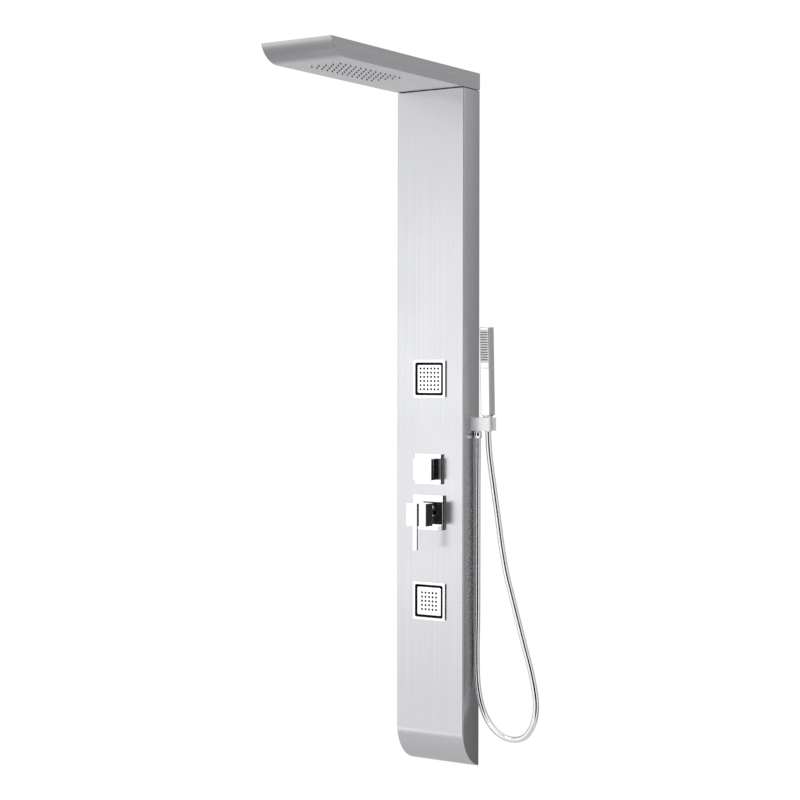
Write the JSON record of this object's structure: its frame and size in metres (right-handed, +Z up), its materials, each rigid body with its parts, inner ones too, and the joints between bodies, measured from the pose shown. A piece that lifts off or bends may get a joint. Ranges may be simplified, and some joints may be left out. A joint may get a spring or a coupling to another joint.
{
  "type": "shower column",
  "caption": "Wall-hung stainless rainfall shower column with a flat overhead rain head, square swivelling body jets, diverter, lever mixer and a stick handset on a hose.",
  "frame": {"origin": "middle of the upper wall bracket's two screw holes, on the wall plane", "axes": "+Z up, +Y into the wall, -Y to the front where the user stands, +X to the right across the panel"},
  "size_m": [0.3541, 0.587, 1.5997],
  "materials": {
    "casing_steel": "vertical brushed grain",
    "head_steel": "satin",
    "chrome": "polished",
    "hose_chrome": "polished steel spiral",
    "zinc_steel": "plated",
    "brass": "cast and machined",
    "copper_tube": "drawn copper",
    "black_plastic": "fine texture",
    "black_rubber": "matte",
    "grey_silicone": "soft matte",
    "white_plastic": "moulded",
    "spray_plastic": "smooth",
    "braided_hose": "steel braid"
  },
  "bodies": {
    "root": {"panel_shell": "casing_steel", "panel_top_plate": "zinc_steel", "rear_seal_strip": "black_rubber", "upper_wall_bracket": "zinc_steel", "lower_wall_bracket": "zinc_steel", "upper_hanging_bar": "zinc_steel", "lower_hanging_bar": "zinc_steel", "side_lock_screws": "zinc_steel", "seam_gasket": "black_rubber", "head_shell": "head_steel", "head_underplate": "head_steel", "head_mounting_plate": "zinc_steel", "head_bolts": "zinc_steel", "rain_nozzles": "grey_silicone", "rain_water_chamber": "white_plastic", "head_supply_tube": "copper_tube", "upper_jet_bezel": "chrome", "upper_jet_housing": "black_plastic", "lower_jet_bezel": "chrome", "lower_jet_housing": "black_plastic", "jet_gaskets": "black_rubber", "jet_lock_frames": "black_plastic", "jet_supply_manifold": "copper_tube", "diverter_valve_body": "brass", "diverter_lock_nut": "brass", "diverter_plate": "chrome", "mixer_valve_body": "brass", "mixer_cartridge": "white_plastic", "cartridge_retaining_nut": "brass", "mixer_plate": "chrome", "mixer_sleeve": "chrome", "hot_inlet_hose": "braided_hose", "cold_inlet_hose": "braided_hose", "inlet_union_nuts": "brass", "mixed_water_tube": "copper_tube", "handset_supply_tube": "copper_tube", "outlet_elbow": "brass", "outlet_back_nut": "brass", "handset_holder": "chrome", "holder_screws": "zinc_steel", "hose_outlet_nut": "chrome", "shower_hose": "hose_chrome"},
    "upper_jet_ring": {"upper_jet_swivel_ring": "black_plastic"},
    "upper_jet": {"upper_jet_face": "chrome", "upper_jet_nozzles": "black_rubber"},
    "lower_jet_ring": {"lower_jet_swivel_ring": "black_plastic"},
    "lower_jet": {"lower_jet_face": "chrome", "lower_jet_nozzles": "black_rubber"},
    "diverter": {"diverter_spindle": "brass", "diverter_knob": "chrome", "diverter_grub_screw": "zinc_steel"},
    "mixer_rotor": {"cartridge_rotor": "zinc_steel"},
    "mixer_handle": {"mixer_stem": "chrome", "mixer_handle_block": "chrome", "mixer_lever": "chrome"},
    "handset": {"hose_handset_nut": "chrome", "handset_grip": "chrome", "handset_head": "chrome", "handset_spray_face": "spray_plastic", "handset_nozzles": "grey_silicone"}
  },
  "joints": [
    {"name": "upper_jet_tilt", "type": "hinge", "parent": "root", "child": "upper_jet_ring", "pos_m": [0, -0.058, -0.5035], "axis": [1, 0, 0], "range_deg": [-8, 8]},
    {"name": "upper_jet_pan", "type": "hinge", "parent": "upper_jet_ring", "child": "upper_jet", "pos_m": [0, -0.058, -0.5035], "axis": [0, 0, 1], "range_deg": [-8, 8]},
    {"name": "lower_jet_tilt", "type": "hinge", "parent": "root", "child": "lower_jet_ring", "pos_m": [0, -0.058, -1.0165], "axis": [1, 0, 0], "range_deg": [-8, 8]},
    {"name": "lower_jet_pan", "type": "hinge", "parent": "lower_jet_ring", "child": "lower_jet", "pos_m": [0, -0.058, -1.0165], "axis": [0, 0, 1], "range_deg": [-8, 8]},
    {"name": "diverter_turn", "type": "hinge", "parent": "root", "child": "diverter", "pos_m": [0, -0.09, -0.711], "axis": [0, 1, 0], "range_deg": [-90, 90]},
    {"name": "mixer_temperature", "type": "hinge", "parent": "root", "child": "mixer_rotor", "pos_m": [0, -0.086, -0.811], "axis": [0, 1, 0], "range_deg": [-45, 45]},
    {"name": "mixer_flow", "type": "hinge", "parent": "mixer_rotor", "child": "mixer_handle", "pos_m": [0, -0.086, -0.811], "axis": [-1, 0, 0], "range_deg": [0, 25]},
    {"name": "handset_lift", "type": "slide", "parent": "root", "child": "handset", "axis": [0, -0.0314, 0.9995], "range_m": [0, 0.04], "deforming": ["shower_hose"]}
  ]
}
